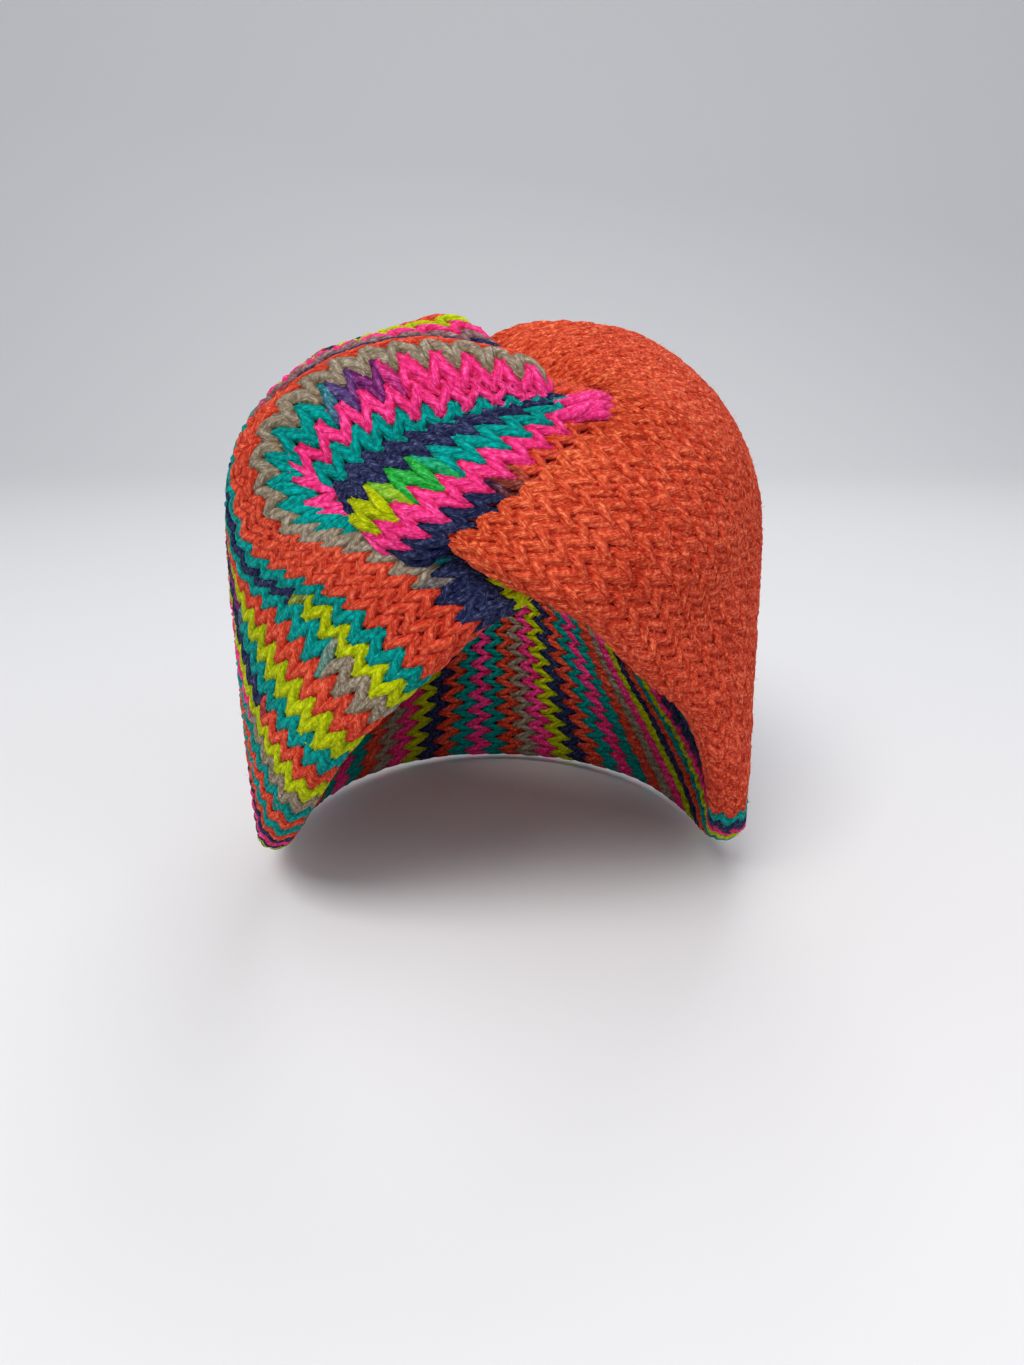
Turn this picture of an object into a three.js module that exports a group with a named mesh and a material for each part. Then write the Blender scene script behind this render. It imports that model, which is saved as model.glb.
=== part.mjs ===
// Knitted twist ear warmer. Millimetres, +Z up, the twist faces -Y and the coral end lies on +X.
//
// One machine-knitted tube is pressed flat into a doubled band that goes once round the head.
// Its two ends are folded along the middle, hooked through each other at the forehead and sewn
// together there. One stretch of the tube is knitted in striped yarn, the other in coral yarn.
// The origin is the middle of the hollow that the head fills.
//
// A place on the band is written as [around, up, lift]: degrees round the head from the forehead
// towards +X, degrees up the head from its widest level, and millimetres from the head out to
// the middle of the doubled wall.

import * as THREE from 'three';

// The head form that the band is stretched over.
const HEAD = {
  halfWidth: 79,
  halfDepth: 95,
  widestHeight: 20,
  crownRise: 66,
  crownRoundness: 0.91,
  neckDrop: 150,
  neckTaper: 0.08,
  neckTilt: 0.1,
};

// Half the thickness of the doubled knit: free, squeezed under the other end, and at the sewn end.
const WALL = { free: 7, squeezed: 4, sewn: 4.5, sewnRows: 3, headClearance: 0.5 };

// Rows of stitches left off, so that the sewn ends and the two yarns keep a small gap.
const LEFT_OFF = { atSeam: 0.06, atYarnChange: 0.2 };

// The band is flat as far as this share of its half width, and its edges are round beyond.
const FLAT_SHARE = 0.92;
const FACE_POINTS = 22;
const EDGE_POINTS = 5;
const KNOT_ROW_STEP = 0.7;
const SIDE_ROW_STEP = 1.5;

// Columns of a side table, by their place across the band from its lower to its upper edge.
const SIDE_COLUMNS = { bottom: -1, middle: 0, top: 1 };

// The striped stretch starts at the seam, makes a U-turn at the left temple, where its two halves
// meet in a crease, and runs round the left ear and the back of the head.
const STRIPED = {
  name: 'striped_band',
  colour: 0x3f8f86,
  direction: -1,
  columns: { bottom: -1, low: -0.5, tuck: 0, turn: 0.2, panel: 0.4, crest: 0.7, top: 1 },
  knot: [
    { row: 0, bottom: [14, 7, 4.5], low: [7, 10, 4.5], tuck: [-6, 11, 5], turn: [-12, 9.5, 11],
      panel: [-7.5, 12.7, 17], crest: [7, 23.3, 18], top: [24, 37.5, 15.5] },
    { row: 2, bottom: [11, 5, 4.5], low: [2, 9, 4.5], tuck: [-8, 12, 5], turn: [-18, 13, 11],
      panel: [-13, 15.8, 18], crest: [1, 25, 19], top: [21.5, 38.5, 15.5] },
    { row: 4, bottom: [8, 4, 4.5], low: [0, 8, 5], tuck: [-16, 13, 6], turn: [-24, 18, 10],
      panel: [-20, 21, 15], crest: [-6, 29, 16], top: [18.5, 39, 16] },
    { row: 5.3, bottom: [7, 3, 5.5], low: [-3, 9, 6], tuck: [-23, 15, 8], turn: [-29, 20, 10],
      panel: [-24, 26, 12], crest: [-10, 33, 13.5], top: [16.5, 39.5, 16.5] },
    { row: 6.6, bottom: [3, 1, 7], low: [-8, 10, 7.2], tuck: [-29, 17, 12], turn: [-34, 23, 14],
      panel: [-25, 33, 16], crest: [-7, 38, 17], top: [15, 40, 17] },
    { row: 8, bottom: [1, -0.5, 8], low: [-17, 11, 10], tuck: [-38, 18, 17], turn: [-40, 27, 21],
      panel: [-31, 39, 22], crest: [-9, 44, 22], top: [13, 41, 18] },
    { row: 9.5, bottom: [-5.5, -4, 8], low: [-24, 7, 10], tuck: [-44, 15, 15], turn: [-47, 25, 19],
      panel: [-40, 37, 20], crest: [-20, 47, 19], top: [8, 47, 16] },
    { row: 12, bottom: [-17, -10, 8], low: [-34, -1, 8], tuck: [-56, 8, 11], turn: [-62, 22, 12],
      panel: [-60, 37, 12], crest: [-42, 53, 12], top: [-3, 61, 15.5] },
  ],
  side: [
    { row: 15, bottom: [-30.5, -18.6, 8], middle: [-65, 4, 8], top: [-45, 62, 9] },
    { row: 19, bottom: [-44.5, -29.7, 8], middle: [-77, -2, 8], top: [-78, 56, 8] },
    { row: 24, bottom: [-60, -40.7, 8], middle: [-95, -7, 8], top: [-106, 48, 8] },
    { row: 30, bottom: [-78, -49.6, 8], middle: [-120, -12, 8], top: [-130, 40, 8] },
    { row: 42, bottom: [-150, -55, 8], middle: [-164, -14, 8], top: [-172, 33.5, 8] },
    { row: 54, bottom: [-226, -55, 9], middle: [-200, -17, 8], top: [-197, 35, 8] },
    { row: 62, bottom: [-278, -50.5, 12], middle: [-223, -23, 8], top: [-215, 40.5, 8] },
    { row: 65, bottom: [-290, -42.5, 12], middle: [-232, -25, 8], top: [-222, 43, 8] },
  ],
};

// The coral stretch starts at the seam with its lower half outermost and its upper half passing
// behind the striped lobe, and runs down over the right ear to the change of yarn behind it.
const CORAL = {
  name: 'coral_band',
  colour: 0xe05a38,
  direction: 1,
  columns: { bottom: -1, low: -0.7, panel: -0.4, crease: 0, back: 0.5, top: 1 },
  knot: [
    { row: 0, bottom: [-8.5, 10.5, 18.4], low: [6.9, 22.8, 18], panel: [22.2, 35.4, 17],
      crease: [26, 42, 11.5], back: [6, 51, 4.5], top: [-13, 61, 4.5] },
    { row: 3, bottom: [-2, 6.5, 18.3], low: [15, 20, 18], panel: [31, 32, 17],
      crease: [31, 40.5, 12.5], back: [18, 54, 8.5], top: [2, 66, 6] },
    { row: 7, bottom: [6, 1.5, 17], low: [26, 15, 17], panel: [44, 24, 14],
      crease: [45, 36, 12], back: [44, 56, 8], top: [28, 68, 8] },
    { row: 11, bottom: [18, -5.5, 11], low: [42, 6, 11], panel: [55, 18, 11],
      crease: [61, 29, 10], back: [66, 52, 8], top: [60, 64, 8] },
  ],
  side: [
    { row: 15, bottom: [31, -10, 8], middle: [76, 18, 8], top: [92, 57, 8] },
    { row: 20, bottom: [47, -18, 9], middle: [94, 3, 8], top: [110, 50, 8] },
    { row: 25, bottom: [60, -31, 11], middle: [110, -12, 8], top: [125, 46, 8] },
    { row: 30, bottom: [70, -42.5, 12], middle: [128, -25, 8], top: [138, 43, 8] },
  ],
};

// The point of a smooth curve through values, which it meets at the given knots.
function curveAt(knots, values, x) {
  const last = knots.length - 2;
  let i = 0;
  while (i < last && x >= knots[i + 1]) i += 1;
  const rise = (k, c) => (values[k + 1][c] - values[k][c]) / (knots[k + 1] - knots[k]);
  const slope = (k, c) => {
    if (k === 0) return rise(0, c);
    if (k === last + 1) return rise(last, c);
    const before = knots[k] - knots[k - 1];
    const after = knots[k + 1] - knots[k];
    return (rise(k - 1, c) * after + rise(k, c) * before) / (before + after);
  };
  const span = knots[i + 1] - knots[i];
  const t = (x - knots[i]) / span;
  const u = 1 - t;
  return values[i].map((from, c) => (
    u * u * (1 + 2 * t) * from + t * u * u * span * slope(i, c)
    + t * t * (3 - 2 * t) * values[i + 1][c] - t * t * u * span * slope(i + 1, c)
  ));
}

// Every table row of a band, with a place for each of the band's columns.
function guideRows(band) {
  const across = Object.values(band.columns);
  const columnNames = Object.keys(band.columns);
  const sideNames = Object.keys(SIDE_COLUMNS);
  const sideAcross = Object.values(SIDE_COLUMNS);
  const knot = band.knot.map((entry) => columnNames.map((name) => entry[name]));
  const side = band.side.map((entry) => {
    const places = sideNames.map((name) => entry[name]);
    return across.map((w) => curveAt(sideAcross, places, w));
  });
  return {
    across,
    rows: [...band.knot, ...band.side].map((entry) => entry.row),
    places: [...knot, ...side],
  };
}

// The place of a row of stitches at a share of the width, from -1 to 1.
function bandPlace(guides, row, across) {
  const columns = guides.across.map((_, c) => (
    curveAt(guides.rows, guides.places.map((places) => places[c]), row)
  ));
  return curveAt(guides.across, columns, across);
}

// The point in space of a place on the band.
function onHead([around, up, lift]) {
  const turn = THREE.MathUtils.degToRad(around);
  const climb = THREE.MathUtils.degToRad(up);
  const overCrown = up >= 0;
  const shrink = Math.cos(climb) ** (overCrown ? HEAD.crownRoundness : HEAD.neckTaper);
  const rise = overCrown
    ? HEAD.crownRise * Math.sin(climb) ** HEAD.crownRoundness
    : HEAD.neckDrop * Math.sin(climb);
  const tilt = overCrown ? climb : climb * HEAD.neckTilt;
  const out = lift * Math.cos(tilt);
  return new THREE.Vector3(
    (HEAD.halfWidth * shrink + out) * Math.sin(turn),
    -(HEAD.halfDepth * shrink + out) * Math.cos(turn),
    HEAD.widestHeight + rise + lift * Math.sin(tilt),
  );
}

// The middle of the wall at a row and a share of the width, with the directions out of the wall
// and along the row, and half the wall's thickness.
function wallAt(band, guides, row, across) {
  const step = 1e-3;
  const place = bandPlace(guides, row, across);
  const at = (r, w) => onHead(bandPlace(guides, r, w));
  const alongBand = at(row + step, across).sub(at(row - step, across));
  const alongRow = at(row, across + step).sub(at(row, across - step)).normalize();
  const out = alongBand.cross(alongRow).multiplyScalar(band.direction).normalize();
  const pressed = THREE.MathUtils.clamp(place[2] - WALL.headClearance, WALL.squeezed, WALL.free);
  const sewn = WALL.sewn + (WALL.free - WALL.sewn) * Math.min(row / WALL.sewnRows, 1);
  return { middle: onHead(place), out, alongRow, half: Math.min(pressed, sewn) };
}

// The outline of the flattened tube at one row: outer face, round top edge, inner face, round
// bottom edge.
function rowOutline(band, guides, row) {
  const walls = [];
  for (let i = 0; i < FACE_POINTS; i += 1) {
    const across = FLAT_SHARE * ((2 * i) / (FACE_POINTS - 1) - 1);
    walls.push(wallAt(band, guides, row, across));
  }
  const offset = (wall, turn) => wall.middle.clone()
    .addScaledVector(wall.out, wall.half * Math.cos(turn))
    .addScaledVector(wall.alongRow, wall.half * Math.sin(turn));
  const edge = (wall, from) => Array.from({ length: EDGE_POINTS }, (_, i) => (
    offset(wall, from + (Math.PI * (i + 1)) / (EDGE_POINTS + 1))
  ));
  const outer = walls.map((wall) => offset(wall, 0));
  const inner = walls.map((wall) => offset(wall, Math.PI)).reverse();
  return [...outer, ...edge(walls.at(-1), 0), ...inner, ...edge(walls[0], Math.PI)];
}

// Rows of stitches that get an outline: close together in the knot, wider apart round the head.
function outlineRows(band) {
  const knotEnd = band.knot.at(-1).row;
  const first = LEFT_OFF.atSeam;
  const last = band.side.at(-1).row - LEFT_OFF.atYarnChange;
  const inKnot = Math.round((knotEnd - first) / KNOT_ROW_STEP);
  const inSide = Math.round((last - knotEnd) / SIDE_ROW_STEP);
  const rows = [];
  for (let i = 0; i < inKnot; i += 1) rows.push(first + ((knotEnd - first) * i) / inKnot);
  for (let i = 0; i <= inSide; i += 1) rows.push(knotEnd + ((last - knotEnd) * i) / inSide);
  return rows;
}

// Triangles that close one end of the tube: a ladder between its two faces and a fan at each edge.
function endTriangles(base) {
  const ringSize = 2 * (FACE_POINTS + EDGE_POINTS);
  const innerStart = 2 * FACE_POINTS + EDGE_POINTS - 1;
  const corner = (i) => base + (i % ringSize);
  const behind = (i) => corner(innerStart - i);
  const triangles = [];
  for (let i = 0; i < FACE_POINTS - 1; i += 1) {
    triangles.push([corner(i), corner(i + 1), behind(i + 1)], [corner(i), behind(i + 1), behind(i)]);
  }
  for (const start of [FACE_POINTS - 1, innerStart]) {
    for (let i = 1; i <= EDGE_POINTS; i += 1) {
      triangles.push([corner(start), corner(start + i), corner(start + i + 1)]);
    }
  }
  return triangles;
}

// The closed wall of a stretch of the band.
function bandGeometry(band) {
  const guides = guideRows(band);
  const outlines = outlineRows(band).map((row) => rowOutline(band, guides, row));
  const ringSize = outlines[0].length;
  const triangles = [];
  for (let s = 0; s < outlines.length - 1; s += 1) {
    for (let i = 0; i < ringSize; i += 1) {
      const here = s * ringSize + i;
      const beside = s * ringSize + ((i + 1) % ringSize);
      triangles.push([here, beside, beside + ringSize], [here, beside + ringSize, here + ringSize]);
    }
  }
  const turned = ([a, b, c]) => [a, c, b];
  triangles.push(...endTriangles(0).map(turned));
  triangles.push(...endTriangles((outlines.length - 1) * ringSize));
  const facing = band.direction > 0 ? triangles.map(turned) : triangles;
  const geometry = new THREE.BufferGeometry();
  const points = outlines.flat().flatMap((point) => point.toArray());
  geometry.setAttribute('position', new THREE.Float32BufferAttribute(points, 3));
  geometry.setIndex(facing.flat());
  geometry.computeVertexNormals();
  return geometry;
}

function bandMesh(band) {
  const material = new THREE.MeshStandardMaterial({ color: band.colour, roughness: 0.95, metalness: 0 });
  const mesh = new THREE.Mesh(bandGeometry(band), material);
  mesh.name = band.name;
  return mesh;
}

const earWarmer = new THREE.Group();
earWarmer.add(bandMesh(STRIPED), bandMesh(CORAL));

export default earWarmer;
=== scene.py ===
"""Knitted twist ear warmer: one knitted tube, pressed flat into a doubled band. The band closes to a
ring at the front, where its striped end and its coral end are hooked through each other and sewn. Every
course of knitting is a strand of yarn that runs in loops along the band's own surface. Lengths of yarn
are in mm."""

import bpy
import numpy as np
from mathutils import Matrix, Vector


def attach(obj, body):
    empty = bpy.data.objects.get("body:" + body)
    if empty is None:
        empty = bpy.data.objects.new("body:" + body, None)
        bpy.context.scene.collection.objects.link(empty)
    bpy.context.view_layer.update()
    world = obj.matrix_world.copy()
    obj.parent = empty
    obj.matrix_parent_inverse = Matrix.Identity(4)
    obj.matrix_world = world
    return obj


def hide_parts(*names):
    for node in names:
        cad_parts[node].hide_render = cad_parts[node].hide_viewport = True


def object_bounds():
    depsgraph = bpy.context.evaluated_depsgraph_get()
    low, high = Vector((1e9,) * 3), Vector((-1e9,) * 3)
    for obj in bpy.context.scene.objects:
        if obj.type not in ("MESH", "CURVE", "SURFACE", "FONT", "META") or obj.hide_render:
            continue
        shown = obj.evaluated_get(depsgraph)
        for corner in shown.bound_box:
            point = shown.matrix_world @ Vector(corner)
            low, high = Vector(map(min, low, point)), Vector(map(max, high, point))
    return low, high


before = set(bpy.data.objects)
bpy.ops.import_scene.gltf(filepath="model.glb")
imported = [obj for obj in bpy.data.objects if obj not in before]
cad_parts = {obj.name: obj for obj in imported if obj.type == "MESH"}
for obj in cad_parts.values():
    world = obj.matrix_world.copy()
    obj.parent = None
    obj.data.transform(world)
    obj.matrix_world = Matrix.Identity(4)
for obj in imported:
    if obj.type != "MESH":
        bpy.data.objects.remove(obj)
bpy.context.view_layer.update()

# Striped knit, outer face at the front and the left side. A plied wool-mix yarn that changes colour
# every row or two, knitted in plain stockinette on a circular machine. It starts at the seam, makes
# a U-turn in a deep crease, and runs back round the side.

# Guide places of the band's middle, by row and by column across the width: degrees round from the
# front, degrees up, and mm of lift off the oval form. A side row has its bottom, middle and top alone.
STRIPED_COLUMNS = {"bottom": -1, "low": -0.5, "tuck": 0, "turn": 0.2, "panel": 0.4, "crest": 0.7, "top": 1}
STRIPED_KNOT = {
    0: ((14, 7, 4.5), (7, 10, 4.5), (-6, 11, 5), (-12, 9.5, 11),
        (-7.5, 12.7, 17), (7, 23.3, 18), (24, 37.5, 15.5)),
    2: ((11, 5, 4.5), (2, 9, 4.5), (-8, 12, 5), (-18, 13, 11),
        (-13, 15.8, 18), (1, 25, 19), (21.5, 38.5, 15.5)),
    4: ((8, 4, 4.5), (0, 8, 5), (-16, 13, 6), (-24, 18, 10),
        (-20, 21, 15), (-6, 29, 16), (18.5, 39, 16)),
    5.3: ((7, 3, 5.5), (-3, 9, 6), (-23, 15, 8), (-29, 20, 10),
        (-24, 26, 12), (-10, 33, 13.5), (16.5, 39.5, 16.5)),
    6.6: ((3, 1, 7), (-8, 10, 7.2), (-29, 17, 12), (-34, 23, 14),
        (-25, 33, 16), (-7, 38, 17), (15, 40, 17)),
    8: ((1, -0.5, 8), (-17, 11, 10), (-38, 18, 17), (-40, 27, 21),
        (-31, 39, 22), (-9, 44, 22), (13, 41, 18)),
    9.5: ((-5.5, -4, 8), (-24, 7, 10), (-44, 15, 15), (-47, 25, 19),
        (-40, 37, 20), (-20, 47, 19), (8, 47, 16)),
    12: ((-17, -10, 8), (-34, -1, 8), (-56, 8, 11), (-62, 22, 12),
        (-60, 37, 12), (-42, 53, 12), (-3, 61, 15.5)),
}
STRIPED_SIDE = {
    15: ((-30.5, -18.6, 8), (-65, 4, 8), (-45, 62, 9)),
    19: ((-44.5, -29.7, 8), (-77, -2, 8), (-78, 56, 8)),
    24: ((-60, -40.7, 8), (-95, -7, 8), (-106, 48, 8)),
    30: ((-78, -49.6, 8), (-120, -12, 8), (-130, 40, 8)),
    42: ((-150, -55, 8), (-164, -14, 8), (-172, 33.5, 8)),
    54: ((-226, -55, 9), (-200, -17, 8), (-197, 35, 8)),
    62: ((-278, -50.5, 12), (-223, -23, 8), (-215, 40.5, 8)),
    65: ((-290, -42.5, 12), (-232, -25, 8), (-222, 43, 8)),
}

# The tube's stitches: up each face, and round each rolled edge between the faces.
FACE_STITCHES, EDGE_STITCHES = 21, 3
TUBE_STITCHES = 2 * (FACE_STITCHES + EDGE_STITCHES)


def smooth_curve(knots, values, x):
    """Cubic curve that meets values at knots. Its slope at a knot is the mean of the two chords
    beside it, each weighted by the length of the other, and at an end the end chord's own."""
    knots, values = np.asarray(knots, float), np.asarray(values, float)
    gap = np.diff(knots)[:, None]
    chord = np.diff(values, axis=0) / gap
    inner = (chord[:-1] * gap[1:] + chord[1:] * gap[:-1]) / (gap[:-1] + gap[1:])
    slope = np.concatenate([chord[:1], inner, chord[-1:]])
    i = np.clip(np.searchsorted(knots, x, side="right") - 1, 0, len(knots) - 2)
    t = (x - knots[i])[:, None] / gap[i]
    u = 1 - t
    rise = t * u * u * slope[i] - t * t * u * slope[i + 1]
    return u * u * (1 + 2 * t) * values[i] + t * t * (3 - 2 * t) * values[i + 1] + gap[i] * rise


FORM_WIDTH, FORM_DEPTH = 79, 95
WIDEST_LEVEL, FORM_RISE, FORM_DROP = 20, 66, 150
CROWN_POWER, SKIRT_POWER, SKIRT_TILT = 0.91, 0.08, 0.1


def on_form(places):
    """Oval form that the band is stretched to: 79 by 95 from its middle at the widest level. Upwards it
    closes as cos to the 0.91 and rises 66, downwards it tapers as cos to the 0.08 and drops 150. The lift
    goes out and up from it, and on the steep lower part almost straight out."""
    turn, climb = np.radians(places[:, 0]), np.radians(places[:, 1])
    over = climb >= 0
    shrink = np.where(over, np.cos(climb) ** CROWN_POWER, np.cos(climb) ** SKIRT_POWER)
    rise = np.where(over, FORM_RISE * np.abs(np.sin(climb)) ** CROWN_POWER, FORM_DROP * np.sin(climb))
    tilt = np.where(over, climb, SKIRT_TILT * climb)
    out = places[:, 2] * np.cos(tilt)
    x, y = (FORM_WIDTH * shrink + out) * np.sin(turn), -(FORM_DEPTH * shrink + out) * np.cos(turn)
    return np.stack([x, y, WIDEST_LEVEL + rise + places[:, 2] * np.sin(tilt)], axis=1)


def band_middle(guides, row, across):
    """Middle of the doubled wall: the guide places summed with smooth-curve weights by row, then
    across the width, set on the oval form. Also gives the lift off the form."""
    by_row = smooth_curve(guides["rows"], np.eye(len(guides["rows"])), row)
    by_width = smooth_curve(guides["across"], np.eye(len(guides["across"])), across)
    places = np.einsum("nk,kcd,nc->nd", by_row, guides["places"], by_width)
    return on_form(places), places[:, 2]


def unit(v):
    """Each vector of v divided by its length."""
    return v / np.maximum(np.linalg.norm(v, axis=-1, keepdims=True), 1e-9)


CHART_FIRST_ROW, CHART_ROW_STEP = -1, 0.25
CHART_EDGE, CHART_COLUMNS = 0.92, 121
EVEN_SHARE = 0.6


def even_spread(guides):
    """Chart of places across the width, by row and by share of the face from its bottom edge to its top
    one. It is 0.6 of the way from equal steps of the guide columns to equal lengths of cloth, as stitches
    are."""
    rows = np.arange(CHART_FIRST_ROW, guides["rows"][-1] + 2, CHART_ROW_STEP)
    across = np.linspace(-CHART_EDGE, CHART_EDGE, CHART_COLUMNS)
    middle = band_middle(guides, np.repeat(rows, len(across)), np.tile(across, len(rows)))[0]
    pieces = np.linalg.norm(np.diff(middle.reshape(len(rows), -1, 3), axis=1), axis=2)
    length = np.concatenate([np.zeros((len(rows), 1)), np.cumsum(pieces, axis=1)], axis=1)
    face = np.linspace(0, 1, len(across))
    mixed = (1 - EVEN_SHARE) * face + EVEN_SHARE * length / length[:, -1:]
    return np.stack([np.interp(face, m, across) for m in mixed])


def guide_table(columns, knot, side, facing):
    """Places (degrees round, degrees up, mm of lift) by row and column. A side row gives only the
    bottom, middle and top, and the smooth curve through those three spreads it to all columns."""
    across = np.array(list(columns.values()), float)
    spread = smooth_curve((-1, 0, 1), np.eye(3), across)
    places = [np.array(p, float) for p in knot.values()]
    places += [spread @ np.array(p, float) for p in side.values()]
    rows = np.array([*knot, *side], float)
    guides = {"across": across, "rows": rows, "places": np.stack(places), "facing": facing}
    guides["even"] = even_spread(guides)
    return guides


def place_across(guides, row, face):
    """The even-spread chart read at any row and share of the face, by straight lines."""
    chart = guides["even"]
    r = np.clip((row - CHART_FIRST_ROW) / CHART_ROW_STEP, 0, len(chart) - 1.001)
    f = np.clip(face, 0, 1) * (chart.shape[1] - 1.001)
    i, j = r.astype(int), f.astype(int)
    low = chart[i, j] * (1 - f + j) + chart[i, j + 1] * (f - j)
    high = chart[i + 1, j] * (1 - f + j) + chart[i + 1, j + 1] * (f - j)
    return low * (1 - r + i) + high * (r - i)


# Half the doubled wall: its least and most, its value at a hooked end, and the rows over which it grows.
THIN_WALL, FULL_WALL, END_WALL, END_ROWS = 4, 7, 4.5, 3
FORM_CLEARANCE = 0.5


def knit_surface(guides, row, stitch):
    """Outer skin of the flattened tube, 48 stitches round: 21 up the outer face, 3 round the top edge,
    21 down the inner face and 3 round the bottom edge. A point is the wall's middle plus half the
    wall, in the direction out cos(turn) + along sin(turn). Gives the point and that direction."""
    s = np.mod(stitch, TUBE_STITCHES)
    half_round = FACE_STITCHES + EDGE_STITCHES
    face = np.where(s < half_round, s / FACE_STITCHES, 1 - (s - half_round) / FACE_STITCHES)
    across = place_across(guides, row, face)
    top_edge = np.clip((s - FACE_STITCHES) / EDGE_STITCHES, 0, 1)
    bottom_edge = np.clip((s - (TUBE_STITCHES - EDGE_STITCHES)) / EDGE_STITCHES, 0, 1)
    turn = np.pi * (top_edge + bottom_edge)
    middle, lift = band_middle(guides, row, across)
    step = 1e-3
    down = band_middle(guides, row + step, across)[0] - band_middle(guides, row - step, across)[0]
    along = unit(band_middle(guides, row, across + step)[0] - band_middle(guides, row, across - step)[0])
    out = unit(np.cross(down, along) * guides["facing"])
    end_limit = END_WALL + (FULL_WALL - END_WALL) * np.clip(row / END_ROWS, 0, 1)
    half = np.minimum(np.clip(lift - FORM_CLEARANCE, THIN_WALL, FULL_WALL), end_limit)
    way = out * np.cos(turn)[:, None] + along * np.sin(turn)[:, None]
    return middle + way * half[:, None], way


SET_STRIPED_COURSES = (-1, 0, 3, 4, 7, 13, 67)
SET_STRIPED_ROWS = (-0.5, 0.55, 4.3, 6.1, 8.2, 12.5, 66.5)


def striped_row(course):
    """Row of the band that a striped course lies on: straight between set courses, wide apart on the
    panel by the seam, close together in the turn, and one row to a course beyond it."""
    return np.interp(course, SET_STRIPED_COURSES, SET_STRIPED_ROWS)


def uneven(courses, stitches, t, seed):
    """Handmade unevenness: a random number for each half stitch, joined by straight lines along t."""
    pick = np.random.default_rng(seed).normal(0, 1, (len(courses), int(2 * stitches) + 3))
    at = t / np.pi
    i = at.astype(int)
    return (pick[:, i] * (1 - at + i) + pick[:, i + 1] * (at - i)).ravel()


def round_section(path, way, radius, sides):
    """Round section carried along strands: a ring of equal angles from the way out of the cloth, square
    to the strand. Gives the points, the ways out of the yarn, the angles and the lengths along."""
    ahead = unit(np.gradient(path, axis=1))
    side = unit(np.cross(ahead, way))
    up = np.cross(side, ahead)
    turn = 2 * np.pi * np.arange(sides) / sides - np.pi
    ring = np.cos(turn)[:, None] * up[:, :, None, :] + np.sin(turn)[:, None] * side[:, :, None, :]
    points = path[:, :, None, :] + radius[..., None] * ring
    length = np.cumsum(np.linalg.norm(np.diff(path, axis=1, prepend=path[:, :1]), axis=2), axis=1)
    return points, ring, turn, length


def strand_faces(strands, rings, sides, length):
    """Faces of strands of equal rings of points: a quad between each two neighbours on two rings, and a
    fan of triangles over each end. The quads' UV is (mm along, share of a turn)."""
    k, i, j = np.meshgrid(np.arange(strands), np.arange(rings - 1), np.arange(sides), indexing="ij")
    here, there = (k * rings + i) * sides, (k * rings + i + 1) * sides
    right = (j + 1) % sides
    quads = np.stack([here + j, here + right, there + right, there + j], axis=-1).reshape(-1, 4)
    start, stop = length[k, i], length[k, i + 1]
    u, v = np.stack([start, start, stop, stop], axis=-1), np.stack([j, j + 1, j + 1, j], axis=-1) / sides
    fan = np.stack([np.zeros(sides - 2, int), np.arange(1, sides - 1), np.arange(2, sides)], axis=1)
    first = np.arange(strands)[:, None, None] * rings * sides
    caps = np.concatenate([first + fan[:, ::-1], first + (rings - 1) * sides + fan]).reshape(-1, 3)
    return quads, caps, np.stack([u, v], axis=-1).reshape(-1, 2)


LOOP_RISE = 0.86
THIN_YARN, THICK_YARN = 1.0, 2.7
LEG_SWELL, BEND_SINK, LEGS_PROUD = 0.1, 0.36, 0.4
GAP_DEPTH, GAP_FADE = 2.1, 2.3
UNEVEN_RISE, UNEVEN_PITCH, UNEVEN_GIRTH, UNEVEN_DEPTH = 0.03, 0.025, 0.04, 0.18


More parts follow.
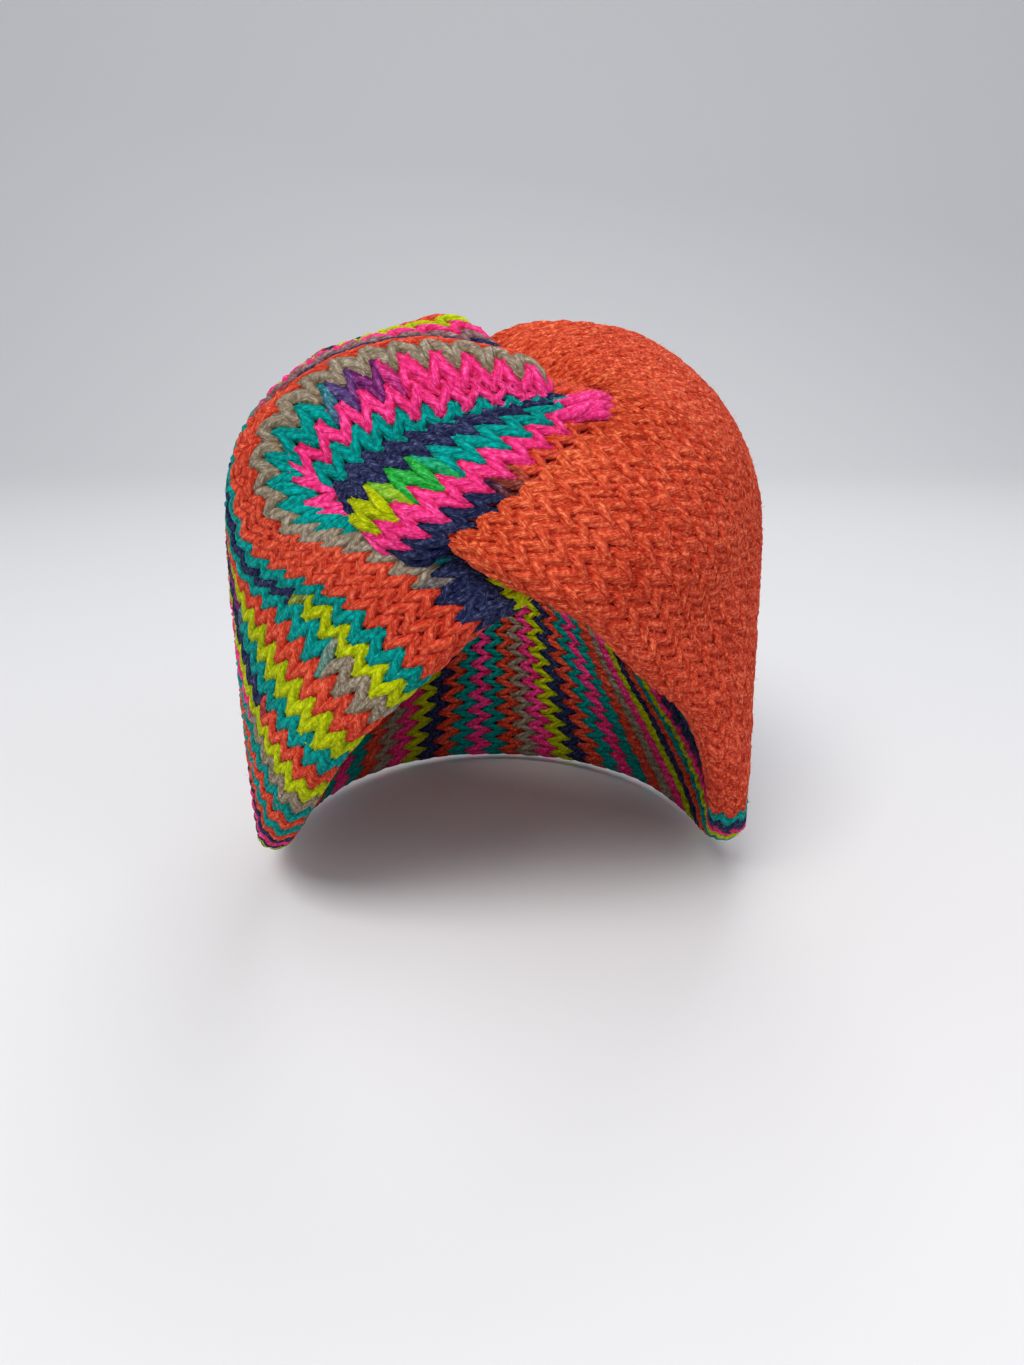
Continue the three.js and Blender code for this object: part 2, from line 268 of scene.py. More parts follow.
def yarn_courses(guides, courses, row_of, plump, first, last, steps, sides, lean_way, slant, gap):
    """Strands of yarn, one for each course. With t running one turn for each stitch, less a slant from
    course to course, the strand is 0.86 cos(t) courses up or down, sin(2t) / pi stitches along from its
    even place, and sunk by 0.36 radii times 1 + cos(2t), so that its legs stand in front and its bends lie
    behind. A round section, plump times the local stitch, is carried along it. Gives points, faces and UV,
    and the course and stitch of each point, its painted shade, darker the deeper it lies so that the gaps
    between strands are painted dark, down to 1 - gap, and its way out of the yarn."""
    stitches = last - first
    t = np.linspace(0, 2 * np.pi * stitches, int(stitches * steps) + 1)
    n = len(courses)
    course = np.repeat(courses, len(t)).astype(float)
    flat = np.tile(first + t / (2 * np.pi), n)
    loop = np.tile(t, n) - 2 * np.pi * slant * course
    beat = np.cos(2 * loop)
    wave = lean_way * LOOP_RISE * np.cos(loop) + UNEVEN_RISE * uneven(courses, stitches, t, seed=12)
    along = flat + np.sin(2 * loop) / np.pi + slant * wave
    along = along + UNEVEN_PITCH * uneven(courses, stitches, t, seed=11)
    skin, way = knit_surface(guides, row_of(course + wave), along)

    step = 0.2
    row, above, below = row_of(course), row_of(course + step), row_of(course - step)
    wide = knit_surface(guides, row, flat + step)[0] - knit_surface(guides, row, flat - step)[0]
    tall = knit_surface(guides, above, flat)[0] - knit_surface(guides, below, flat)[0]
    stitch_size = np.sqrt(np.linalg.norm(wide, axis=1) * np.linalg.norm(tall, axis=1)) / (2 * step)
    radius = np.clip(plump * stitch_size, THIN_YARN, THICK_YARN) * (1 - LEG_SWELL * beat)
    radius = radius * (1 + UNEVEN_GIRTH * uneven(courses, stitches, t, seed=13))
    sunk = LEGS_PROUD - radius - BEND_SINK * radius * (1 + beat)
    sunk = sunk + UNEVEN_DEPTH * uneven(courses, stitches, t, seed=14)

    path = (skin + way * sunk[:, None]).reshape(n, -1, 3)
    radius = radius.reshape(n, -1, 1)
    points, ring, turn, length = round_section(path, way.reshape(n, -1, 3), radius, sides)
    # Painted shade: the deeper a point lies in the cloth, the darker it is painted, down to 1 - gap.
    depth = sunk.reshape(n, -1, 1) + radius * np.cos(turn)
    painted_shade = 1 - gap * (1 - np.clip((depth + GAP_DEPTH) / GAP_FADE, 0, 1))
    quads, caps, uv = strand_faces(n, len(t), sides, length)
    places = np.stack([np.repeat(course, sides), np.repeat(flat, sides)], axis=1)
    return points.reshape(-1, 3), quads, caps, uv, places, painted_shade.ravel(), ring.reshape(-1, 3)


HAIR_LEAN, HAIR_BEND, HAIR_ROOT = 0.75, 0.6, 0.3
THIN_HAIR, THICK_HAIR, HAIR_TAPER = 0.03, 0.06, 0.7
SHORT_FOOT, SHORT_TIP = 0.5, 0.4


def fuzz(points, ways, places, count, longest, seed):
    """Loose fibre ends: thin slivers of two straight lengths that stand on random points of the yarn,
    each length leaning at random, up to the longest length in all. Gives points, faces and the places
    of the yarn that they stand on."""
    pick = np.random.default_rng(seed)
    at = pick.integers(0, len(points), count)
    way = unit(ways[at] + pick.normal(0, HAIR_LEAN, (count, 3)))
    across = unit(np.cross(way, pick.normal(size=(count, 3))))
    across = across * pick.uniform(THIN_HAIR, THICK_HAIR, (count, 1))
    foot = points[at] - HAIR_ROOT * ways[at]
    bend = foot + way * pick.uniform(SHORT_FOOT, longest / 2, (count, 1))
    bent = unit(way + pick.normal(0, HAIR_BEND, (count, 3)))
    tip = bend + bent * pick.uniform(SHORT_TIP, longest / 2, (count, 1))
    narrow = HAIR_TAPER * across
    corners = np.stack([foot - across, foot + across, bend + narrow, bend - narrow, tip], axis=1)
    base = 5 * np.arange(count)[:, None]
    quads, tips = base + np.array([0, 1, 2, 3]), base + np.array([3, 2, 4])
    return corners.reshape(-1, 3), quads, tips, np.repeat(places[at], 5, 0)


RIDGE_UV = (0, 0.125)
METRES = 0.001


def put_mesh(name, points, quads, triangles, uv, colours):
    """A mesh object from whole arrays, in metres, with the yarn's UV on the strands' quads, the ridge of
    a ply on all other faces, and its colour: the dye with any painted shade and painted light."""
    mesh = bpy.data.meshes.new(name)
    corners = np.concatenate([quads.ravel(), triangles.ravel()]).astype(np.int32)
    sizes = np.concatenate([np.full(len(quads), 4), np.full(len(triangles), 3)]).astype(np.int32)
    mesh.vertices.add(len(points))
    mesh.vertices.foreach_set("co", (points * METRES).astype(np.float32).ravel())
    mesh.loops.add(len(corners))
    mesh.loops.foreach_set("vertex_index", corners)
    mesh.polygons.add(len(sizes))
    mesh.polygons.foreach_set("loop_start", (np.cumsum(sizes) - sizes).astype(np.int32))
    mesh.polygons.foreach_set("use_smooth", np.ones(len(sizes), bool))
    full = np.tile(np.float32(RIDGE_UV), (len(corners), 1))
    full[: len(uv)] = uv
    mesh.uv_layers.new(name="yarn").data.foreach_set("uv", full.ravel())
    dye_and_painted_light = mesh.color_attributes.new("dye_and_painted_light", "FLOAT_COLOR", "POINT")
    rgba = np.concatenate([colours, np.ones((len(colours), 1))], axis=1).astype(np.float32)
    dye_and_painted_light.data.foreach_set("color", rgba.ravel())
    mesh.update(calc_edges=True)
    piece = bpy.data.objects.new(name, mesh)
    bpy.context.collection.objects.link(piece)
    return piece


DYES = {
    "coral": (218, 84, 57), "pink": (243, 64, 142), "teal": (0, 146, 140), "navy": (46, 52, 84),
    "lime": (186, 196, 8), "taupe": (150, 138, 120), "purple": (122, 48, 112), "blue": (92, 74, 122),
    "green": (48, 168, 72), "brown": (136, 66, 56), "mauve": (140, 112, 112), "olive": (150, 150, 60),
    # Painted light: orange is the coral where the light falls strongest, mixed into it near the seam.
    "painted_light_orange": (212, 88, 54),
}
# Dyes of each striped course from the seam on, up the outer face from its bottom edge. A number is the
# stitch, of 21, where one dye gives way to the next. Round the back the same nine repeat.
STRIPES = [
    "navy 15.5 brown 16.7 coral", "pink", "lime 13 green 15 teal", "navy", "lime 1.5 green 2.2 navy 3 teal",
    "navy 4 pink", "navy 2.5 teal 13.5 blue 14.5 purple 16 pink", "navy 1.5 taupe", "coral",
    "coral 14 navy", "coral 13 mauve", "teal 13.5 pink", "lime 4.5 navy 14 lime", "taupe 2 teal 14 coral",
    "coral 14 pink", "lime 14 mauve", "teal 7 purple 14 navy", "coral 3 navy 14.5 lime", "lime 14.5 navy",
    "taupe 4 pink 14.5 coral", "teal", "coral 6.5 taupe 15 olive", "teal 15 pink", "coral", "navy", "pink",
    "navy", "lime", "navy",
]
STRIPES += ["teal", "coral", "taupe", "pink", "lime", "navy", "coral", "teal", "pink"] * 4
STRIPES = STRIPES[:62] + ["coral", "teal", "lime", "pink"]


def linear(names):
    """Dye colours in linear light, from their display values."""
    c = np.array([DYES[n] for n in names]) / 255
    return np.where(c > 0.04045, ((c + 0.055) / 1.055) ** 2.4, c / 12.92)


HALF_EDGE = EDGE_STITCHES / 2
FACE_TOP = FACE_STITCHES + HALF_EDGE


def stripe_colours(places):
    """Dye at each course and stitch, from a chart of half stitches up the face. Neighbours on the chart
    are joined by straight lines, so that a dye runs into the next over half a stitch. The inner face
    has the dyes of the outer one."""
    height = np.arange(-HALF_EDGE, FACE_TOP + 0.5, 0.5)
    chart = []
    for stripe in STRIPES:
        words = stripe.split()
        chart.append(linear(words[::2])[np.searchsorted([float(w) for w in words[1::2]], height)])
    chart = np.stack(chart)
    course = np.clip(np.round(places[:, 0]).astype(int), 0, len(chart) - 1)
    s = np.mod(places[:, 1] + HALF_EDGE, TUBE_STITCHES) - HALF_EDGE
    up_face = np.where(s < FACE_TOP, s, 2 * FACE_TOP - s)
    at = np.clip(2 * (up_face + HALF_EDGE), 0, len(height) - 1.001)
    i = at.astype(int)
    share = (at - i)[:, None]
    return chart[course, i] * (1 - share) + chart[course, i + 1] * share


PLIES, RIDGE_POWER = 4.0, 0.9
STREAK_STRETCH, STREAKS_PER_PLY, STREAK_RELIEF = 0.3, 4.0, 1.4
MOTTLE_SHARE, FLECK_GAIN, DARKEST_TONE = 0.15, 7.0, 0.3
RICHER_WHEN_DARKER, TONE_SHARE = 0.45, 0.55
PALE_POWER, GLINT_FROM, GLINT_GAIN, GLINT_MOST = 0.55, 1.08, 2.2, 0.6


def plied_group():
    """Spun yarn: four plies laid as ridges |sin(pi (4 turn + twist length))| to the 0.9, with painted shade
    in the grooves between them, fine fibre streaks along them and flecks and patches of lighter and darker
    wool. All these make one tone, partly the wool's own and partly painted shade. The dye, with its painted
    light, is raised to the power 1.45 - 0.45 tone, so that it is richer where it is darker, and scaled by
    0.45 + 0.55 tone. The strongest streaks and flecks are painted highlights: glints in the dye to the
    0.55, times the glint's tint."""
    group = bpy.data.node_groups.new("plied_yarn", "ShaderNodeTree")
    for name, kind, value in (
        ("Dye and painted light", "NodeSocketColor", (1, 1, 1, 1)), ("Along", "NodeSocketVector", (0, 0, 0)),
        ("Place", "NodeSocketVector", (0, 0, 0)), ("Twist", "NodeSocketFloat", 0.15),
        ("Groove shade", "NodeSocketFloat", 0.5), ("Fleck", "NodeSocketFloat", 0.3),
        ("Painted glint", "NodeSocketColor", (1, 1, 1, 1)),
    ):
        socket = group.interface.new_socket(name, in_out="INPUT", socket_type=kind)
        socket.default_value = value
    group.interface.new_socket("Colour", in_out="OUTPUT", socket_type="NodeSocketColor")
    group.interface.new_socket("Height", in_out="OUTPUT", socket_type="NodeSocketFloat")
    add, link = group.nodes.new, group.links.new

    def math(operation, a, b=0.0):
        """Output of one Math node on two values or sockets."""
        node = add("ShaderNodeMath")
        node.operation = operation
        for socket, value in zip(node.inputs, (a, b)):
            if isinstance(value, (int, float)):
                socket.default_value = value
            else:
                link(value, socket)
        return node.outputs[0]

    def noise(place, scale, detail):
        """Strength of a noise texture at a place."""
        node = add("ShaderNodeTexNoise")
        node.inputs["Scale"].default_value = scale
        node.inputs["Detail"].default_value = detail
        link(place, node.inputs["Vector"])
        return node.outputs["Fac"]

    given, result = add("NodeGroupInput"), add("NodeGroupOutput")
    split = add("ShaderNodeSeparateXYZ")
    link(given.outputs["Along"], split.inputs[0])
    length, turn = split.outputs[0], split.outputs[1]
    wound = math("MULTIPLY", length, given.outputs["Twist"])
    phase = math("ADD", math("MULTIPLY", turn, PLIES), wound)
    ridge = math("POWER", math("ABSOLUTE", math("SINE", math("MULTIPLY", phase, np.pi))), RIDGE_POWER)

    streak_at = add("ShaderNodeCombineXYZ")
    link(math("MULTIPLY", length, STREAK_STRETCH), streak_at.inputs[0])
    link(math("MULTIPLY", phase, STREAKS_PER_PLY), streak_at.inputs[1])
    streak = noise(streak_at.outputs[0], scale=1.6, detail=4)
    fleck = noise(given.outputs["Place"], scale=850, detail=4)
    mottle = noise(given.outputs["Place"], scale=60, detail=2)

    fibres = math("ADD", math("MULTIPLY", streak, 0.5), math("MULTIPLY", fleck, 0.5))
    wool = math("MULTIPLY", fibres, 1 - MOTTLE_SHARE)
    wool = math("ADD", wool, math("MULTIPLY", mottle, MOTTLE_SHARE))
    contrast = math("MULTIPLY", given.outputs["Fleck"], FLECK_GAIN)
    spread = math("ADD", 1.0, math("MULTIPLY", math("SUBTRACT", wool, 0.5), contrast))
    # Painted shade in the grooves between the plies.
    groove_shade = math("MULTIPLY", math("SUBTRACT", 1.0, ridge), given.outputs["Groove shade"])
    tone = math("MULTIPLY", math("MAXIMUM", spread, DARKEST_TONE), math("SUBTRACT", 1.0, groove_shade))
    rich = add("ShaderNodeGamma")
    link(given.outputs["Dye and painted light"], rich.inputs["Color"])
    link(math("SUBTRACT", 1 + RICHER_WHEN_DARKER, math("MULTIPLY", tone, RICHER_WHEN_DARKER)), rich.inputs["Gamma"])
    toned = add("ShaderNodeVectorMath")
    toned.operation = "SCALE"
    link(rich.outputs[0], toned.inputs[0])
    link(math("ADD", 1 - TONE_SHARE, math("MULTIPLY", tone, TONE_SHARE)), toned.inputs["Scale"])

    # Painted highlights: the strongest streaks and flecks glint in the paler dye, times the glint's tint.
    pale = add("ShaderNodeGamma")
    pale.inputs["Gamma"].default_value = PALE_POWER
    link(given.outputs["Dye and painted light"], pale.inputs["Color"])
    tinted = add("ShaderNodeVectorMath")
    tinted.operation = "MULTIPLY"
    link(pale.outputs[0], tinted.inputs[0])
    link(given.outputs["Painted glint"], tinted.inputs[1])
    painted_glint = math("MULTIPLY", math("SUBTRACT", math("ADD", streak, fleck), GLINT_FROM), GLINT_GAIN)
    glinting = add("ShaderNodeMix")
    glinting.data_type = "RGBA"
    link(math("MINIMUM", math("MAXIMUM", painted_glint, 0.0), GLINT_MOST), glinting.inputs["Factor"])
    link(toned.outputs[0], glinting.inputs["A"])
    link(tinted.outputs[0], glinting.inputs["B"])
    link(glinting.outputs["Result"], result.inputs["Colour"])
    link(math("ADD", ridge, math("MULTIPLY", streak, STREAK_RELIEF)), result.inputs["Height"])
    return group


PLIED = plied_group()
WOOL_ROUGHNESS, WOOL_SPECULAR, SHEEN_ROUGHNESS = 0.88, 0.05, 0.5
RELIEF, RELIEF_STRENGTH = 0.00045, 0.9


def yarn_material(name, twist, groove_shade, fleck, sheen, painted_glint):
    """Matt dyed wool: the dye attribute, which carries painted shade and painted light, through the plied
    yarn group, which adds painted shade in the grooves and painted glints, its height as a bump, and a
    weak even sheen for the fuzz."""
    material = bpy.data.materials.new(name)
    material.use_nodes = True
    tree = material.node_tree
    shader = tree.nodes["Principled BSDF"]
    shader.inputs["Roughness"].default_value = WOOL_ROUGHNESS
    shader.inputs["Specular IOR Level"].default_value = WOOL_SPECULAR
    shader.inputs["Sheen Weight"].default_value = sheen
    shader.inputs["Sheen Roughness"].default_value = SHEEN_ROUGHNESS
    dye_and_painted_light = tree.nodes.new("ShaderNodeAttribute")
    dye_and_painted_light.attribute_name = "dye_and_painted_light"
    along = tree.nodes.new("ShaderNodeUVMap")
    along.uv_map = "yarn"
    place = tree.nodes.new("ShaderNodeTexCoord")
    plied = tree.nodes.new("ShaderNodeGroup")
    plied.node_tree = PLIED
    for socket, value in (("Twist", twist), ("Groove shade", groove_shade), ("Fleck", fleck), ("Painted glint", painted_glint)):
        plied.inputs[socket].default_value = value
    bump = tree.nodes.new("ShaderNodeBump")
    bump.inputs["Strength"].default_value = RELIEF_STRENGTH
    bump.inputs["Distance"].default_value = RELIEF
    tree.links.new(dye_and_painted_light.outputs["Color"], plied.inputs["Dye and painted light"])
    tree.links.new(along.outputs["UV"], plied.inputs["Along"])
    tree.links.new(place.outputs["Object"], plied.inputs["Place"])
    tree.links.new(plied.outputs["Colour"], shader.inputs["Base Color"])
    tree.links.new(plied.outputs["Height"], bump.inputs["Height"])
    tree.links.new(bump.outputs["Normal"], shader.inputs["Normal"])
    return material


# Painted sheen: the loose fibres are painted lighter than the yarn.
HAIR_PAINTED_SHEEN = 1.15
# Painted shade in the gaps between strands: weaker colour channels darken faster, so it stays rich.
PAINTED_SHADE_POWER, PAINTED_SHADE_RICHNESS = 2.6, 1.8


def knit_piece(name, guides, courses, row_of, face, stitch, plump, dye_and_painted_light, hairs, longest, material,
               node):
    """One piece of knitting: its courses and its loose fibres in one mesh, riding on the part's body. In
    the gaps between strands the dye is multiplied by the painted shade to the power 2.6 - 1.8 strength /
    greatest strength, channel by channel, so that the painted shade is darker and richer in colour there.
    The loose fibres are painted 1.15 times lighter, a painted sheen on the fuzz."""
    points, quads, caps, uv, places, painted_shade, ways = yarn_courses(
        guides, courses, row_of, plump, **face, **stitch)
    hair, hair_quads, hair_tips, hair_places = fuzz(points, ways, places, hairs, longest, seed=len(name))
    painted_shade = np.concatenate([painted_shade, np.ones(len(hair))])[:, None]
    colours = dye_and_painted_light(np.concatenate([places, hair_places]))
    # Painted shade in the gaps between strands, darker and richer in colour.
    strength = PAINTED_SHADE_RICHNESS * colours / colours.max(axis=1, keepdims=True)
    colours = colours * painted_shade ** (PAINTED_SHADE_POWER - strength)
    # Painted sheen on the loose fibres.
    colours[len(points):] *= HAIR_PAINTED_SHEEN
    quads = np.concatenate([quads, hair_quads + len(points)])
    triangles = np.concatenate([caps, hair_tips + len(points)])
    piece = put_mesh(name, np.concatenate([points, hair]), quads, triangles, uv, colours)
    piece.data.materials.append(material)
    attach(piece, "root")
    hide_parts(node)


STRIPED = guide_table(STRIPED_COLUMNS, STRIPED_KNOT, STRIPED_SIDE, facing=-1)
STRIPED_YARN = yarn_material(
    "striped_yarn", twist=0.16, groove_shade=0.35, fleck=0.6, sheen=0.015, painted_glint=(1, 1, 1, 1))
# gap: how dark the painted shade in the gaps between strands gets.
STRIPED_STITCH = {"lean_way": 1, "slant": 0, "gap": 0.8}
OUTER_FACE = {"first": -HALF_EDGE, "last": FACE_TOP, "steps": 16, "sides": 6}
FRONT_COURSES, STRIPED_COURSES = 33, 66
knit_piece(
    "striped_face_front", STRIPED, np.arange(FRONT_COURSES), striped_row, OUTER_FACE, STRIPED_STITCH,
    plump=0.245, dye_and_painted_light=stripe_colours, hairs=8000, longest=2.2, material=STRIPED_YARN,
    node="striped_band")

# Striped knit, outer face round the back. The same yarn and stitch, row after row, up to the change to
# the coral yarn at the right side. It is a mesh of its own only to keep each mesh small.

knit_piece(
    "striped_face_back", STRIPED, np.arange(FRONT_COURSES, STRIPED_COURSES), striped_row, OUTER_FACE,
    STRIPED_STITCH, plump=0.25, dye_and_painted_light=stripe_colours, hairs=8000, longest=2.2, material=STRIPED_YARN,
    node="striped_band")

# Striped knit, inner face. The other half of the same rows of the tube, in the same yarn, which meets
# the outer face at the rolled top and bottom edges.

INNER_FACE = {"first": FACE_TOP, "last": TUBE_STITCHES - HALF_EDGE, "steps": 11, "sides": 5}
knit_piece(
    "striped_lining", STRIPED, np.arange(STRIPED_COURSES), striped_row, INNER_FACE, STRIPED_STITCH,
    plump=0.265, dye_and_painted_light=stripe_colours, hairs=1500, longest=2.0, material=STRIPED_YARN,
    node="striped_band")

# Coral knit, outer face. A softer, fuzzier yarn in one colour, knitted on to the striped rows at the
# right side. Its other end is hooked round the striped loop and sewn to it at the front.

CORAL_COLUMNS = {"bottom": -1, "low": -0.7, "panel": -0.4, "crease": 0, "back": 0.5, "top": 1}
CORAL_KNOT = {
    0: ((-8.5, 10.5, 18.4), (6.9, 22.8, 18), (22.2, 35.4, 17),
        (26, 42, 11.5), (6, 51, 4.5), (-13, 61, 4.5)),
    3: ((-2, 6.5, 18.3), (15, 20, 18), (31, 32, 17),
        (31, 40.5, 12.5), (18, 54, 8.5), (2, 66, 6)),
    7: ((6, 1.5, 17), (26, 15, 17), (44, 24, 14),
        (45, 36, 12), (44, 56, 8), (28, 68, 8)),
    11: ((18, -5.5, 11), (42, 6, 11), (55, 18, 11),
        (61, 29, 10), (66, 52, 8), (60, 64, 8)),
}
CORAL_SIDE = {
    15: ((31, -10, 8), (76, 18, 8), (92, 57, 8)),
    20: ((47, -18, 9), (94, 3, 8), (110, 50, 8)),
    25: ((60, -31, 11), (110, -12, 8), (125, 46, 8)),
    30: ((70, -42.5, 12), (128, -25, 8), (138, 43, 8)),
}
CORAL_COURSES = 26
SET_CORAL_COURSES = (-1, 0, 6, 26, 27)
SET_CORAL_ROWS = (-0.8, 0.6, 9, 30.6, 31.6)
PAINTED_LIGHT_COURSES = 4


def coral_row(course):
    """Row of the band that a coral course lies on: straight between set courses, wider apart on the panel
    by the seam than round the side."""
    return np.interp(course, SET_CORAL_COURSES, SET_CORAL_ROWS)


def coral_colours(places):
    """Coral, with painted light that turns it orange towards the seam, where the light falls strongest, by
    exp(-course / 4). The last two courses are of the striped yarn, teal and then navy."""
    # Painted light: the coral turns orange towards the seam.
    share = np.exp(-np.maximum(places[:, :1], 0) / PAINTED_LIGHT_COURSES)
    colours = linear(["coral"]) * (1 - share) + linear(["painted_light_orange"]) * share
    colours[places[:, 0] > CORAL_COURSES - 2.5] = linear(["teal"])[0]
    colours[places[:, 0] > CORAL_COURSES - 1.5] = linear(["navy"])[0]
    return colours


CORAL = guide_table(CORAL_COLUMNS, CORAL_KNOT, CORAL_SIDE, facing=1)
# The coral's painted highlights are tinted golden.
CORAL_YARN = yarn_material(
    "coral_yarn", twist=0.14, groove_shade=0.3, fleck=0.75, sheen=0.02, painted_glint=(1, 1.22, 0.62, 1))
# gap: how dark the painted shade in the gaps between strands gets.
CORAL_STITCH = {"lean_way": -1, "slant": -0.2, "gap": 0.6}
knit_piece(
    "coral_face", CORAL, np.arange(CORAL_COURSES), coral_row, OUTER_FACE, CORAL_STITCH,
    plump=0.255, dye_and_painted_light=coral_colours, hairs=24000, longest=3.2, material=CORAL_YARN,
    node="coral_band")

# Coral knit, inner face. The other half of the same rows of the tube, in the same yarn, which meets the
# outer face at the rolled top and bottom edges.

knit_piece(
    "coral_lining", CORAL, np.arange(CORAL_COURSES), coral_row, INNER_FACE, CORAL_STITCH,
    plump=0.28, dye_and_painted_light=coral_colours, hairs=2000, longest=2.6, material=CORAL_YARN,
    node="coral_band")

# Sewing at the pinch. A few stitches of the pink yarn draw the top corner of the striped fold against
# the coral fold, and some of the coral yarn close the gap behind them, where the two ends meet.

# Each sewn strand: row and stitch of its start on the striped knit, row and stitch of its end on the
# coral knit, and its radius, bulge, sink, taper and sway.
PINK_SEWING = (
    (2.4, 20.0, 1.0, 8.7, 2.3, 2.6, 2, 0.6, 0.7), (1.2, 20.4, 0.7, 8.1, 1.8, 2.4, 2, 0.6, -0.5),
    (3.4, 20.8, 0.9, 9.2, 1.9, 2.2, 2, 0.6, 0.9), (5.4, 21.6, 0.8, 9.9, 1.9, 1, 3, 0.4, 0.7),
)
CORAL_SEWING = (
    (6.0, 21.4, 0.8, 10.7, 2, 0.6, 3, 0.3, 0.6), (6.5, 21.0, 0.8, 11.6, 2.2, 1, 3, 0.3, -0.6),
    (7.2, 21.6, 1, 12.4, 2.2, 0.5, 4, 0.2, 0.5), (7.5, 21.8, 1, 12.8, 2.2, -0.6, 4, 0.2, 0.3),
    (7.8, 22.0, 1, 13.2, 2.2, 0, 4, 0.2, -0.5), (8.1, 22.1, 1, 13.6, 2.2, -0.6, 4, 0.2, 0.5),
    (8.4, 22.2, 1, 14.0, 2.2, 0, 4, 0.2, 0.4), (8.7, 22.2, 1, 14.4, 2.2, -0.6, 4, 0.2, -0.3),
    (9.0, 22.3, 1, 14.8, 2.2, 0, 4, 0.2, -0.4), (9.3, 22.4, 1, 15.2, 2.2, -0.6, 4, 0.2, 0.5),
    (9.7, 22.4, 1, 15.6, 2.2, 0, 4, 0.2, 0.4), (10.0, 22.4, 1, 16.0, 2.2, -0.6, 4, 0.2, -0.5),
    (10.4, 22.4, 1, 16.4, 2.2, 0, 4, 0.2, -0.4), (11.2, 22.4, 1, 17.2, 2.2, 0, 4, 0.2, 0.3),
)
SEWN_STEPS, SEWN_SIDES = 16, 8
TIP_CORAL = 0.6


def sewn_strands(starts, ends, radius, bulge, sink, taper, sway):
    """Short strands of yarn. Each runs from a start to an end on the two bands, stands out from them by
    4 t (1 - t) bulge on the way, goes in by sink t cubed, and bends aside by sway sin(2 pi t). Its radius
    is greatest halfway, half of that at its start, and less by the taper at its end. Gives points, faces,
    UV and ways out of the yarn as the courses do."""
    (a, way_a), (b, way_b) = starts, ends
    t = np.linspace(0, 1, SEWN_STEPS)[None, :, None]
    way = unit(way_a + way_b)[:, None, :]
    aside = unit(np.cross(b - a, way[:, 0]))[:, None, :]
    thick = radius * (0.5 + 0.5 * np.sin(np.pi * t)) * (1 - taper * t ** 4)
    path = a[:, None, :] * (1 - t) + b[:, None, :] * t
    path = path + way * (4 * t * (1 - t) * bulge - thick - sink * t ** 3)
    path = path + aside * sway * np.sin(2 * np.pi * t)
    points, ring, _, length = round_section(path, way, thick, SEWN_SIDES)
    faces = strand_faces(len(a), SEWN_STEPS, SEWN_SIDES, length)
    return points.reshape(-1, 3), *faces, ring.reshape(-1, 3)


sewing = np.array(PINK_SEWING + CORAL_SEWING).T
starts, ends = knit_surface(STRIPED, sewing[0], sewing[1]), knit_surface(CORAL, sewing[2], sewing[3])
points, quads, caps, uv, ways = sewn_strands(starts, ends, *sewing[4:, :, None, None])
# The pink strands turn partly coral over their last third.
is_coral = np.repeat([0.0, 1.0], [len(PINK_SEWING), len(CORAL_SEWING)])
tip = np.tile(np.repeat(np.linspace(-2, 1, SEWN_STEPS), SEWN_SIDES), len(is_coral))
coral_share = np.maximum(np.repeat(is_coral, SEWN_STEPS * SEWN_SIDES), TIP_CORAL * tip)[:, None]
hair, hair_quads, hair_tips, hair_share = fuzz(points, ways, coral_share, 2600, 2.8, seed=5)
coral_share = np.concatenate([coral_share, hair_share])
sewn_dyes = linear(["pink"]) * (1 - coral_share) + linear(["coral"]) * coral_share
quads = np.concatenate([quads, hair_quads + len(points)])
triangles = np.concatenate([caps, hair_tips + len(points)])
stitches = put_mesh("pinch_stitches", np.concatenate([points, hair]), quads, triangles, uv, sewn_dyes)
stitches.data.materials.append(STRIPED_YARN)
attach(stitches, "root")

# Floor, light and camera. A plain pale floor that sweeps up behind the band, soft daylight from the
# front and above, and the photograph's view, 19 degrees down from in front. In metres.

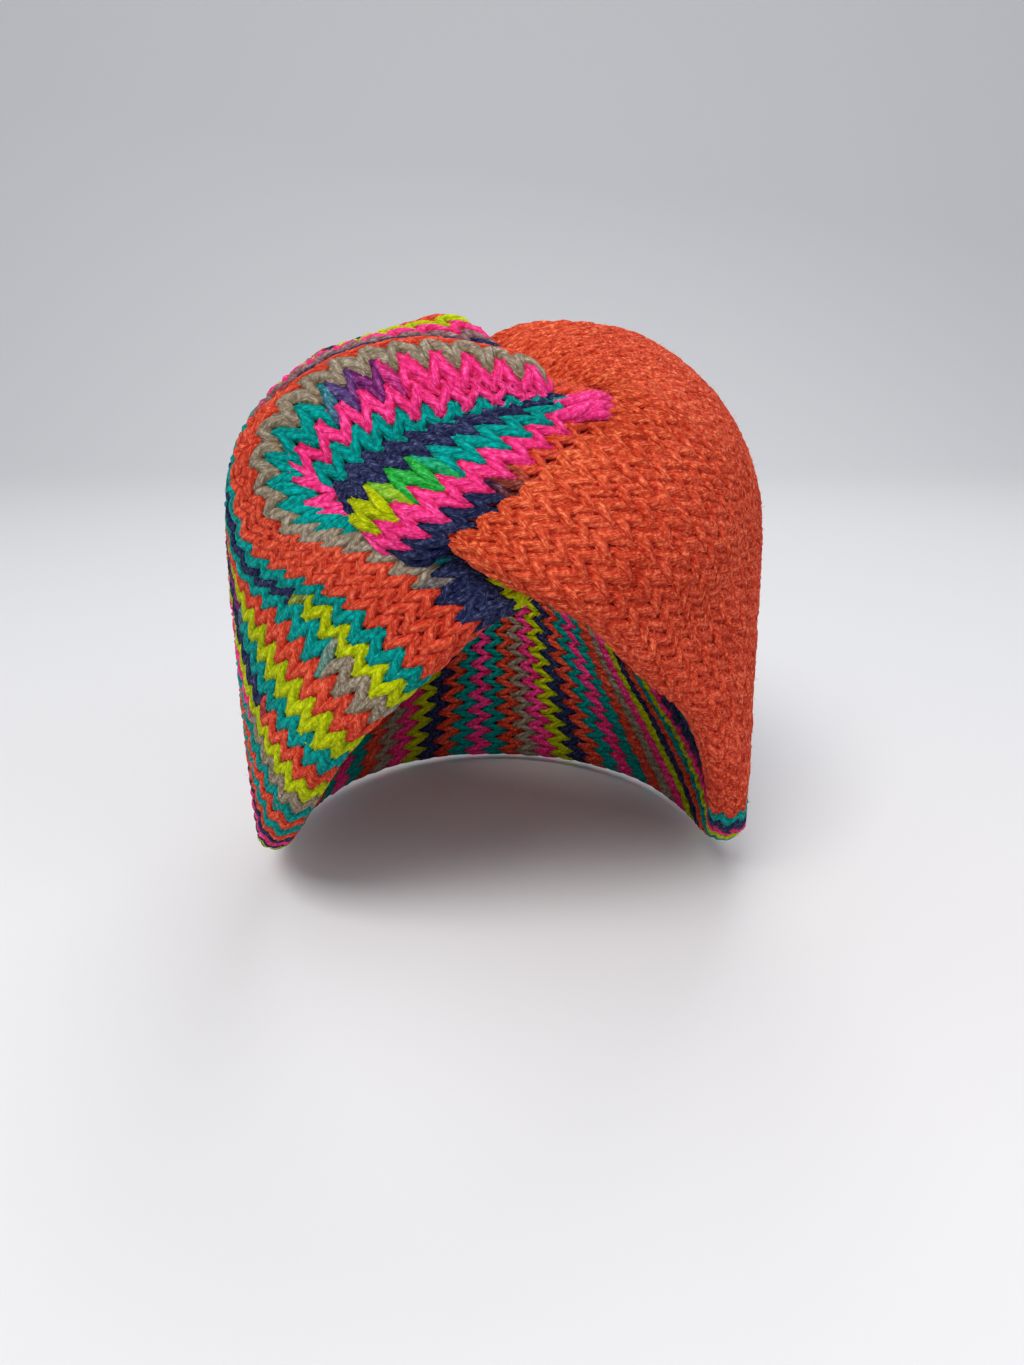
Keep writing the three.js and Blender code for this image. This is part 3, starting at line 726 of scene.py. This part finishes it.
visual_low, visual_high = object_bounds()
FLOOR_REACH, SWEEP_START, SWEEP_RADIUS, WALL_TOP = 6, 1.1, 0.8, 5
FLOOR_GAP = 0.001
WALL_AT, FLOOR_LEVEL = SWEEP_START + SWEEP_RADIUS, visual_low.z - FLOOR_GAP
bend = np.radians(np.linspace(0, 90, 17))
run = np.concatenate([[-FLOOR_REACH], SWEEP_START + SWEEP_RADIUS * np.sin(bend), [WALL_AT]])
climb = np.concatenate([[0], SWEEP_RADIUS * (1 - np.cos(bend)), [WALL_TOP]]) + FLOOR_LEVEL
sweep = [(x, y, z) for y, z in zip(run, climb) for x in (-FLOOR_REACH, FLOOR_REACH)]
strips = [(2 * i, 2 * i + 1, 2 * i + 3, 2 * i + 2) for i in range(len(run) - 1)]
floor_mesh = bpy.data.meshes.new("floor")
floor_mesh.from_pydata(sweep, [], strips)
floor_mesh.shade_smooth()
floor = bpy.data.objects.new("floor", floor_mesh)
bpy.context.collection.objects.link(floor)
pale = bpy.data.materials.new("pale_floor")
pale.use_nodes = True
pale.node_tree.nodes["Principled BSDF"].inputs["Base Color"].default_value = (0.72, 0.72, 0.73, 1)
pale.node_tree.nodes["Principled BSDF"].inputs["Roughness"].default_value = 0.9
floor_mesh.materials.append(pale)


def soft_light(name, place, aim, size, power, colour):
    """A square area light of that size, turned from its place towards aim."""
    lamp = bpy.data.lights.new(name, "AREA")
    lamp.size, lamp.energy, lamp.color = size, power, colour
    stand = bpy.data.objects.new(name, lamp)
    stand.location = place
    stand.rotation_euler = (aim - stand.location).to_track_quat("-Z", "Y").to_euler()
    bpy.context.collection.objects.link(stand)


middle = (visual_low + visual_high) / 2
soft_light("front_light", (-0.35, -0.9, 1.15), middle, size=0.6, power=17, colour=(1.0, 0.98, 0.95))
soft_light("right_light", (1.1, -0.5, 0.6), middle, size=0.9, power=2.5, colour=(0.95, 0.97, 1.0))
soft_light("back_light", (0.2, 0.9, 1.1), middle, size=0.8, power=6, colour=(1.0, 1.0, 1.0))
world = bpy.context.scene.world or bpy.data.worlds.new("studio")
bpy.context.scene.world = world
world.use_nodes = True
world.node_tree.nodes["Background"].inputs["Color"].default_value = (0.9, 0.93, 1.0, 1)
world.node_tree.nodes["Background"].inputs["Strength"].default_value = 0.54
bpy.context.scene.view_settings.view_transform = "Standard"

FOCAL_PIXELS, FRAME_PIXELS = 1050, 1365
LOOKING_DOWN = 19
lens = bpy.data.cameras.new("camera")
lens.sensor_width = 36
lens.lens = lens.sensor_width * FOCAL_PIXELS / FRAME_PIXELS
lens.clip_start = 0.01
camera = bpy.data.objects.new("camera", lens)
camera.location = (0.006, -0.38, 0.095)
camera.rotation_euler = (np.radians(90 - LOOKING_DOWN), 0, 0)
bpy.context.collection.objects.link(camera)
bpy.context.scene.camera = camera
